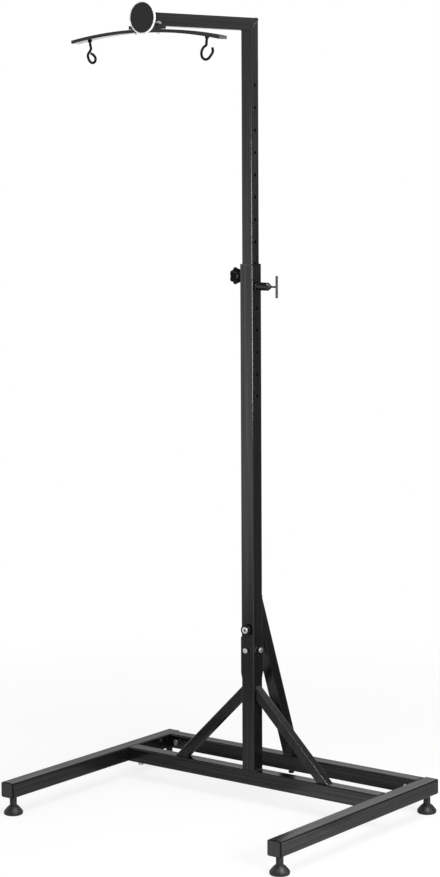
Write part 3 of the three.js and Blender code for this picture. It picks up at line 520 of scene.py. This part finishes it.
# %% End caps
def squircle(side, corner, height, steps=6):
    """A square with rounded corners as one ring."""
    ring = []
    inset = side / 2 - corner
    for quarter in range(4):
        middle = (quarter + 0.5) * math.pi / 2
        x, y = inset * math.copysign(1, math.cos(middle)), inset * math.copysign(1, math.sin(middle))
        for step in range(steps + 1):
            angle = (quarter + step / steps) * math.pi / 2
            ring.append(Vector((x + corner * math.cos(angle), y + corner * math.sin(angle), height)))
    return ring


CAP_Y = 345


def end_cap():
    plug = [squircle(35.4, 1.6, -10), squircle(35.4, 1.6, 0.01)]
    dark_step = [squircle(37.4, 2.8, 0.02), squircle(37.4, 2.8, 1.0), squircle(39.6, 4, 1.3)]
    dome = []
    for k in range(7):
        angle = k / 6 * math.pi / 2
        dome.append(squircle(39.8 - 6 * (1 - math.cos(angle)), 4, 2 + 3 * math.sin(angle)))
    dish = [squircle(30, 3.4, 5), squircle(29.4, 3.2, 4.75)]
    return ring_mesh(plug + dark_step + dome + dish)


for end, y, way in (("front", -CAP_Y, FRONT), ("rear", CAP_Y, REAR)):
    for side, x in (("left", -BEAM_X), ("right", BEAM_X)):
        name = f"{end}_{side}_end_cap"
        place(f"{name}_moulding", end_cap(), cap_plastic, "base", [name], "black_plastic",
              at(x, y, BEAM_Z, way))
print("caps ready")

# %% [markdown]
# ## Bolts
# A hexagon bolt is a hexagon only at its sides. Its top is turned to a cone first, so each corner ends in a
# small curve. The outline at each height is the smaller of the hexagon and the cone's circle there. Under the
# head sit a split spring washer and a flat one.

# %% Bolts
SHARP_ANGLE, CONE_ANGLE = 30, 32
CROSSBAR_BOLT_X, REAR_BAR_FRONT, SOCKET_BOLT_Z, BOW_BOLT_X, PLATE_TOP = 383, 303, 412.3, 34, 2018.2


def hexagon(angle):
    sector = (angle + math.pi / 6) % (math.pi / 3) - math.pi / 6
    return 1 / math.cos(sector)


def hexagon_head(flats, bottom, top):
    rings = []
    for height in [bottom] + [top - drop for drop in (2.2, 1.5, 1.0, 0.6, 0.3, 0.1, 0)]:
        cone = 0.93 + (top - height) / math.tan(math.radians(CONE_ANGLE)) / (flats / 2)
        rings.append(circle(flats / 2, height, 72, lambda angle: min(hexagon(angle), cone)))
    return ring_mesh(rings)


def spring_washer(outer, inner, bottom, top, gap=16, rise=0.25, steps=40):
    rings = []
    for k in range(steps + 1):
        angle = math.radians(gap / 2 + (360 - gap) * k / steps)
        lift = rise * (k / steps - 0.5)
        along = Vector((math.cos(angle), math.sin(angle), 0))
        rings.append([along * reach + Vector((0, 0, height + lift))
                      for reach, height in ((inner, bottom), (outer, bottom), (outer, top), (inner, top))])
    return ring_mesh(rings)


def flat_washer(outer, inner, bottom, top):
    profile = soften([(inner, bottom), (outer, bottom), (outer, top), (inner, top)], 0.35)
    return ring_mesh([circle(r, z) for r, z in profile] + [circle(inner, bottom)], capped=False)


def bolt(name, spot, direction, shank, body, head_material):
    where = at(*spot, direction)
    head = hexagon_head(flats=13, bottom=3.7, top=9.2)
    place(f"{name}_set", [head, threaded(-shank, 3.8)], head_material, body, [name], "zinc",
          where, angle=SHARP_ANGLE)
    washers = [spring_washer(outer=6.4, inner=4.2, bottom=1.95, top=3.65),
               flat_washer(outer=8, inner=4.2, bottom=0.3, top=1.9)]
    place(f"{name}_washers", washers, black_steel, body, where=where, angle=SHARP_ANGLE)


BOLTS = {
    "front_left_crossbar_bolt": ((-CROSSBAR_BOLT_X, MAST_Y, BEAM_UNDERSIDE), DOWN, 16),
    "front_right_crossbar_bolt": ((CROSSBAR_BOLT_X, MAST_Y, BEAM_UNDERSIDE), DOWN, 16),
    "rear_left_crossbar_bolt": ((-CROSSBAR_BOLT_X, REAR_BAR_FRONT, BEAM_Z), FRONT, 16),
    "rear_right_crossbar_bolt": ((CROSSBAR_BOLT_X, REAR_BAR_FRONT, BEAM_Z), FRONT, 16),
    "front_socket_bolt": ((0, 120, SOCKET_BOLT_Z), FRONT, 14),
    "right_socket_bolt": ((22, MAST_Y, SOCKET_BOLT_Z), RIGHT, 14),
    "strut_foot_bolt": ((0, 317.7, BEAM_UNDERSIDE), DOWN, 44.6),
    "left_bow_bolt": ((-BOW_BOLT_X, BOW_Y, PLATE_TOP), UP, 19.6),
    "right_bow_bolt": ((BOW_BOLT_X, BOW_Y, PLATE_TOP), UP, 19.6),
}
for name, (spot, direction, shank) in BOLTS.items():
    body = "upper" if "bow" in name else "base"
    bolt(name, spot, direction, shank, body, black_steel if name == "strut_foot_bolt" else zinc)
print("bolts", len(BOLTS))

# %% [markdown]
# ## Strut knob
# The screw that holds the strut's top to the mast has a black steel knob round it. Its socket head sits in
# the knob's middle and stands a little proud, bright against the black. Its hexagon hole has a thin black
# lining of painted shade, which stands in for the dark that a deep hole has.

# %% Strut knob
FLUTES, FLUTE_DEPTH, KNOB_SIDES, KNOB_BORE, SCREW_SIDES = 10, 0.035, 100, 8.9, 60
STRUT_SCREW = at(0, 122, 467, FRONT)


def grip(angle):
    return 1 - FLUTE_DEPTH * max(0, math.cos(FLUTES * angle)) ** 2


knob_body = soften([(KNOB_BORE, 0.3), (15, 0.3), (15, 10), (KNOB_BORE, 10), (KNOB_BORE, 1)], 1.8)
knob_ring = ring_mesh([circle(r, z, KNOB_SIDES, grip if r > 12 else None) for r, z in knob_body]
                      + [circle(KNOB_BORE, 0.3, KNOB_SIDES)], capped=False)
place("strut_knob_turned", knob_ring, black_steel, "strut_knob_body", ["strut_knob"], "dark_steel",
      STRUT_SCREW)


def socket_screw(head_radius, bottom, top, flats, depth, shank_end):
    outside = [(0, shank_end + 1), (3.6, shank_end + 1), (THREAD_RADIUS, shank_end + 1.6),
               (THREAD_RADIUS, bottom)]
    corners = [(THREAD_RADIUS, bottom), (head_radius, bottom), (head_radius, top), (flats * 0.6, top)]
    head = soften(corners, 0.9)
    rings = [[Vector((0, 0, z))] if r == 0 else circle(r, z, SCREW_SIDES) for r, z in outside + head]
    for radius, height in ((flats / 2 + 0.15, top), (flats / 2, top - 0.2), (flats / 2, top - depth)):
        rings.append(circle(radius, height, SCREW_SIDES, hexagon))
    rings.append([Vector((0, 0, top - depth - 0.8))])
    return ring_mesh(rings)


screw = socket_screw(head_radius=8.8, bottom=7, top=12, flats=6, depth=3.2, shank_end=-48.3)
place("strut_screw_turned", screw, zinc, "strut_screw_body", ["strut_screw"], "zinc", STRUT_SCREW,
      angle=SHARP_ANGLE)
# A thin black lining inside the hexagon hole: painted shade for the dark of a deep hole.
recess_shade_profile = [(0, 8.9), (2.96, 8.9), (2.96, 11.7), (2.7, 11.7), (2.7, 9.2), (0, 9.2)]
recess_shade = turned(recess_shade_profile, SCREW_SIDES, hexagon)
place("strut_screw_recess_shade", recess_shade, knob_plastic, "strut_screw_body", where=STRUT_SCREW, angle=SHARP_ANGLE)
print("strut knob ready")

# %% [markdown]
# ## Star knob
# A hand knob with six lobes. The lobes swell from a round hub at the mast, are fullest half-way out and fall
# away to a small round face. So each ring has its own size and its own depth of lobe, and the same wave makes
# all of them. The table holds a few main rings, and a smooth curve through them gives the rest.

# %% Star knob
KNOB_HEIGHT, LOBES, LOBE_FULLNESS, STAR_SIDES = 1393, 6, 0.8, 120
STAR_RINGS = [
    (11.3, 0.3, 0), (11.4, 1.6, 0), (11.8, 3.9, 0.01), (13.6, 6, 0.04), (16.3, 8.3, 0.07), (18.2, 12, 0.11),
    (19.7, 16.5, 0.15), (21.2, 19.2, 0.18), (22.1, 21.5, 0.2), (22.6, 23.4, 0.2), (22.2, 24.7, 0.2),
    (21.2, 25.6, 0.19), (19.8, 26.4, 0.16), (18.1, 27, 0.12), (15.6, 27.4, 0.05), (12.4, 27.5, 0)]


def smooth_rows(rows, steps=3):
    """Fills in rows of numbers along a curve that passes through each of them."""
    filled = []
    for k in range(len(rows) - 1):
        before, start, end, after = (rows[min(max(k + d, 0), len(rows) - 1)] for d in (-1, 0, 1, 2))
        for step in range(steps):
            t = step / steps
            filled.append([s + 0.5 * t * (e - b + t * (2 * b - 5 * s + 4 * e - a + t * (3 * (s - e) + a - b)))
                           for b, s, e, a in zip(before, start, end, after)])
    return filled + [list(rows[-1])]


def star_knob():
    rings = []
    for radius, height, depth in smooth_rows(STAR_RINGS):
        def lobes(angle, depth=depth):
            wave = (1 - math.cos(LOBES * angle)) / 2
            return 1 - depth * (1 - wave ** LOBE_FULLNESS)
        rings.append(circle(radius, height, STAR_SIDES, lobes))
    return ring_mesh(rings)


place("star_knob_moulding", star_knob(), knob_plastic, "clamp_knob", ["star_knob"], "black_plastic",
      at(-26.3, MAST_Y, KNOB_HEIGHT, LEFT), angle=50)
place("clamp_stud_turned", threaded(19.5, 43.9), zinc, "clamp", ["clamp_stud"], "zinc",
      at(0, MAST_Y, KNOB_HEIGHT, LEFT), angle=THREAD_ANGLE)
print("star knob ready")

# %% [markdown]
# ## Pull pin
# A turned housing on a hexagon base holds a spring and a plunger. The plunger's rod comes out of the cone and
# carries a bar across it for two fingers. The housing is hollow, so it is one closed profile turned round.

# %% Pull pin
PIN_HEIGHT = 1368
PIN_AXIS = at(20, MAST_Y, PIN_HEIGHT, RIGHT)


def hollow(profile, sides=64):
    return ring_mesh([circle(r, z, sides) for r, z in profile], closed_path=True)


shell = soften([(BORE, 0.3), (9.6, 0.3), (10.6, 4), (10.6, 35.8), (3.8, 45.4), (2.46, 45.4), (2.46, 33),
                (7.2, 33), (7.2, 6), (BORE, 6)], 0.7)
housing = [hollow(shell), hexagon_head(flats=21, bottom=0.3, top=4.6)]
place("pin_housing_turned", housing, housing_plastic, "base", ["pin_housing"], "black_plastic", PIN_AXIS,
      angle=32)
plunger = soften([(0, -3.6), (3.5, -3.6), (4, -3), (4, 15.3), (6.9, 15.3), (6.9, 18.3), (2.4, 18.3),
                  (2.4, 60.4), (1.5, 60.6), (1.5, 65.8), (0, 66)], 0.25)
place("pull_pin_turned", turned(plunger), black_steel, "plunger", ["pull_pin"], "dark_steel", PIN_AXIS)
bar = soften([(0, -28.5), (3.3, -28.5), (3.3, 28.5), (0, 28.5)], 2.4, 6)
place("pin_handle_turned", turned(bar, 40), black_steel, "plunger", ["pin_handle"], "dark_steel",
      at(83.6, MAST_Y, PIN_HEIGHT))
print("pull pin ready")

# %% [markdown]
# ## Hooks
# Each hook is one bent wire: a straight shank that turns in the bow, a kink to the side, and a loop. The
# right loop stays open, and the left one turns in until its tip nearly meets the kink. A few places along
# each wire are given, and the same smooth curve as before runs through them. At each step a ring stands
# across the path, and as the path stays in one plane, the ring needs no twist. Above the collar the shank is
# thinner, so that it runs free in the bow's hole.

# %% Hooks
def along_path(points, radii, sides=20, across=(0, 1, 0)):
    """Sweeps a round wire along points in the plane across the given direction, one radius for each."""
    across = Vector(across)
    rings = []
    for k, (point, radius) in enumerate(zip(points, radii)):
        before, after = points[max(k - 1, 0)], points[min(k + 1, len(points) - 1)]
        ahead = (after - before).normalized()
        outward = ahead.cross(across)
        ring = []
        for i in range(sides):
            angle = 2 * math.pi * i / sides
            ring.append(point + (outward * math.cos(angle) + across * math.sin(angle)) * radius)
        rings.append(ring)
    tip = (points[-1] - points[-2]).normalized()
    small = [points[-1] + tip * 0.5 + (v - points[-1]) * 0.75 for v in rings[-1]]
    return ring_mesh(rings + [small])


CLOSED_HOOK = [(0, -21.2), (0.8, -28.4), (-4.8, -34.5), (-12.1, -39.8), (-13.8, -47.8), (-8.6, -58.9),
               (1.1, -64), (10.4, -60.9), (12.7, -54), (7.8, -46.1), (-0.8, -40.5)]
OPEN_HOOK = [(0, -21.8), (0.3, -28.7), (-5.4, -34.6), (-9.1, -42.9), (-9.1, -51.8), (-5.4, -59.5),
             (1.9, -62.6), (9, -59.5), (15, -50.6), (18.4, -41.6), (16, -32.6)]


def hook_points(bends):
    shank = [(0, z) for z in (-0.3, -4, -8, -12, -15)]
    return [Vector((x, 0, z)) for x, z in smooth_rows(shank + bends, 8)]


BOW_RADIUS, BOW_TOP, HOOK_X = 1248, 2009.9, 184
HOOK_WIRE, HOOK_SHANK, COLLAR_MIDDLE = 3.15, 2.8, -10.5
tilt = math.asin(HOOK_X / BOW_RADIUS)
for side, way, turn, bends in (("left", -1, -8, CLOSED_HOOK), ("right", 1, 20, OPEN_HOOK)):
    spot = Matrix.Translation((way * HOOK_X, BOW_Y, BOW_TOP + BOW_RADIUS * (math.cos(tilt) - 1)))
    where = spot @ Matrix.Rotation(way * tilt, 4, "Y") @ Matrix.Rotation(math.radians(turn), 4, "Z")
    collar_profile = soften([(0, -8.3), (5.2, -8.3), (5.2, -12.8), (0, -12.8)], 0.8)
    collar = turned(collar_profile, 40)
    points = hook_points(bends)
    radii = [HOOK_SHANK if point.z > COLLAR_MIDDLE else HOOK_WIRE for point in points]
    place(f"{side}_hook_wire", [along_path(points, radii), collar], hook_steel, f"{side}_hook_body",
          [f"{side}_hook"], "dark_steel", where)
print("hooks ready")

# %% [markdown]
# ## Badge
# A round badge closes the arm's end: a pale rim with a plain black face sunk in it. The rim is a closed
# profile turned round, and the face is a thin disc of its own.

# %% Badge
BADGE_SIDES, BADGE_Y, BADGE_Z = 96, -285.5, 2037.4
rim = soften([(34.6, 2), (34.6, 0.3), (39.2, 0.3), (39.2, 5.1), (36.4, 5.1), (36.4, 3.5), (34.6, 3.5)], 0.5)
rim_mesh = hollow(rim, BADGE_SIDES)
back = turned([(0, 0.4), (34.8, 0.4), (34.8, 3.4), (0, 3.4)], BADGE_SIDES)
pin = turned([(0, -14), (2.5, -14), (2.5, 0.6), (0, 0.6)], 24)
badge_spot = at(0, BADGE_Y, BADGE_Z, FRONT)
place("badge_rim_moulding", [rim_mesh, back, pin], rim_plastic, "upper", ["badge_rim"], "pale_plastic",
      badge_spot)
face_profile = soften([(0, 3.8), (36.1, 3.8), (36.1, 5.0), (0, 5.0)], 0.3)
face = turned(face_profile, BADGE_SIDES)
place("badge_face_disc", face, badge_plastic, "upper", ["badge_face"], "badge_black", badge_spot)
print("badge ready")

# %% [markdown]
# ## The studio
# A black gloss shows little of itself and much of what stands round it, so the studio is built from what each
# face mirrors. Cards stand out of the picture where the mirrored rays go: a pale one at the far front left
# for the front faces, a dark one at the right rear for the right faces, a pale one at the left rear for the
# beams' tops, and a dark curtain behind the camera. Small dark and pale cards lie on the floor for the faces
# that mirror it: they are painted shade and painted light on the floor's reflection, and the floor itself
# shows mirror rays a darker colour, which is painted shade too. Two cards hang in the air for the bow. The
# rounded corners of the tubes mirror what is between, where a bright card near the mast draws a thin pale
# line down it. The lamp on that side is left out of the mirrors, as the beams' tops would show it as a white
# patch from behind. The cards are seen in mirrors only, so they neither light the stand nor shade it. The
# background's white is seen by the camera and by mirror-like rays only, so it adds no light.

# %% Floor, cards, world and lamps
FRONT_FACES, RIGHT_FACES, BEAM_TOPS, CORNERS, CAMERA_SIDE = -37.6, 142.4, -142.4, 65, 10
QUARTER = 90
ON_FLOOR = 0.004
WHITE = (1, 1, 1, 1)


def sheet(name, material, middle, across, along, half_width, half_length):
    """A flat sheet in metres that is part of the studio and not of the stand."""
    middle, across, along = Vector(middle), Vector(across) * half_width, Vector(along) * half_length
    mesh = bpy.data.meshes.new(name)
    mesh.from_pydata([middle - across - along, middle + across - along, middle + across + along,
                      middle - across + along], [], [(0, 1, 2, 3)])
    mesh.materials.append(material)
    obj = bpy.data.objects.new(name, mesh)
    bpy.context.scene.collection.objects.link(obj)
    return obj


def studio_floor():
    material, r = new_material("studio_floor")
    place_on_floor = r.add("TexCoord", out="Object")
    distance = r.add("VectorMath", {"operation": "LENGTH"}, {0: place_on_floor}, out="Value")
    faded = r.spread(distance, low=0.9, high=2.2, first=0.80, last=1.0)
    far = r.spread(distance, low=1.6, high=4.5, first=0.0, last=1.0)
    seen, mirrored = (r.add("LightPath", out=ray) for ray in ("Is Camera Ray", "Is Glossy Ray"))
    # Mirror rays see the floor at half its colour: painted shade on the floor's reflection.
    plain, painted_shade_in_mirrors = grey(0.85, warmth=0.02), grey(0.42, warmth=0.02)
    matte = r.add("BsdfDiffuse", {}, {"Color": r.blend(mirrored, plain, painted_shade_in_mirrors)})
    white = r.add("Emission", {}, {"Color": WHITE, "Strength": 1.0})
    share = (seen * faded).maths("MAXIMUM", mirrored * far)
    r.finish(r.add("MixShader", {}, {0: share, 1: matte, 2: white}))
    sheet("studio_floor", material, (0, 0, 0), RIGHT, REAR, 9.0, 9.0)


def card(name, middle, across, along, half, glow, heights=(0, 1)):
    """A sheet seen in mirrors only; its glow goes from one value to the other between two heights."""
    material, r = new_material(name)
    height = r.add("SeparateXYZ", {}, {0: r.add("NewGeometry", out="Position")}, out="Z")
    strength = r.spread(height, *heights, *glow, interpolation_type="SMOOTHSTEP")
    r.finish(r.add("Emission", {}, {"Color": WHITE, "Strength": strength}))
    obj = sheet(name, material, middle, across, along, *half)
    obj.visible_camera = obj.visible_diffuse = obj.visible_transmission = obj.visible_shadow = False


def bearing(azimuth):
    """The level way from the mast; azimuth 0 is the front and 90 the right."""
    angle = math.radians(azimuth)
    return Vector((math.sin(angle), -math.cos(angle), 0))


def compass(azimuth, distance, height=0.0):
    """A place so far from the mast, in metres."""
    return Vector((0, MAST_Y * MM, height)) + bearing(azimuth) * distance


def cards():
    rear, front = bearing(RIGHT_FACES), bearing(FRONT_FACES)
    wide = bearing(FRONT_FACES + QUARTER)
    left_wide = bearing(BEAM_TOPS + QUARTER)
    card("rear_card", compass(RIGHT_FACES, 2.0, 1.7) + wide * 0.25, wide, UP, half=(1.15, 1.7),
         glow=(0.15, 0.47), heights=(1.3, 2.2))
    card("front_card", compass(FRONT_FACES, 5.0, 1.9), wide, UP, half=(2.6, 1.9), glow=(1.18, 0.6),
         heights=(0.4, 2.4))
    card("camera_card", compass(CAMERA_SIDE, 8.0, 2.0), bearing(CAMERA_SIDE + QUARTER), UP, half=(4.6, 2.0),
         glow=(0.03, 0.03))
    card("ceiling_card", (0, 0, 4.6), RIGHT, REAR, half=(5.0, 5.0), glow=(0.1, 0.1))
    card("rear_left_card", compass(BEAM_TOPS, 4.0, 0.875), left_wide, UP, half=(1.4, 0.875),
         glow=(0.31, 0.80), heights=(0.98, 1.5))
    card("rear_left_high_card", compass(BEAM_TOPS, 4.0, 2.87), left_wide, UP, half=(1.4, 1.12),
         glow=(0.6, 0.15), heights=(1.75, 2.3))
    card("bow_end_card", compass(RIGHT_FACES, 1.95, 1.57) + wide * 0.385, wide, UP, half=(0.13, 0.1),
         glow=(4.5, 4.5))
    card("bow_underside_card", (-0.80, 0.53, 1.76), left_wide, UP, half=(0.3, 0.16), glow=(1.3, 1.3))
    card("corner_card", compass(CORNERS, 1.3, 1.306), bearing(CORNERS + QUARTER), UP, half=(0.28, 0.386),
         glow=(24, 24))
    # The floor cards: the dark ones are painted shade and the pale ones painted light on the floor's
    # reflection.
    card("rear_floor_shade_card", compass(RIGHT_FACES, 1.4, ON_FLOOR) + wide * 0.45, wide, rear, half=(0.95, 0.6),
         glow=(0.06, 0.06))
    card("post_floor_shade_card", compass(RIGHT_FACES, 0.55, ON_FLOOR), wide, rear, half=(0.16, 0.3),
         glow=(0.04, 0.04))
    card("inner_floor_shade_card", (-0.25, 0.35, ON_FLOOR), RIGHT, REAR, half=(0.16, 0.22), glow=(0.1, 0.1))
    card("beam_floor_light_card", (0.66, -0.10, ON_FLOOR), RIGHT, REAR, half=(0.1, 0.14), glow=(0.85, 0.85))
    card("bar_floor_light_card", (0.18, -0.08, ON_FLOOR), RIGHT, REAR, half=(0.14, 0.1), glow=(0.95, 0.95))
    card("front_floor_shade_card", compass(FRONT_FACES, 1.75, ON_FLOOR) - wide * 0.1, wide, front, half=(0.5, 0.6),
         glow=(0.2, 0.2))


def studio_world(fill):
    world = bpy.data.worlds.new("studio_world")
    bpy.context.scene.world = world
    world.use_nodes = True
    r = Recipe(world.node_tree)
    rays = ("Is Camera Ray", "Is Glossy Ray", "Is Transmission Ray")
    seen, mirrored, through = (r.add("LightPath", out=ray) for ray in rays)
    shown = seen.maths("MAXIMUM", mirrored.maths("MAXIMUM", through))
    soft = r.add("Background", {}, {"Color": WHITE, "Strength": fill})
    white = r.add("Background", {}, {"Color": WHITE, "Strength": 1.0})
    r.add("OutputWorld", {}, {"Surface": r.add("MixShader", {}, {0: shown, 1: soft, 2: white})})


def lamp(name, spot, target, size, watts, mirrored=True):
    data = bpy.data.lights.new(name, "AREA")
    data.shape = "RECTANGLE"
    data.size, data.size_y = size
    data.energy = watts
    obj = bpy.data.objects.new(name, data)
    obj.matrix_world = Matrix.Translation(spot) @ facing(Vector(spot) - Vector(target))
    obj.visible_glossy = mirrored
    bpy.context.scene.collection.objects.link(obj)


studio_floor()
cards()
studio_world(fill=0.45)
lamp("top", (0.9, -0.6, 4.2), (0.1, 0, 0), size=(2.4, 2.0), watts=90)
lamp("side", compass(CORNERS, 3.0, 1.2), compass(CORNERS, 0, 1.2), size=(1.3, 0.95), watts=95, mirrored=False)
bpy.context.scene.view_settings.view_transform = "Standard"
print("studio ready")
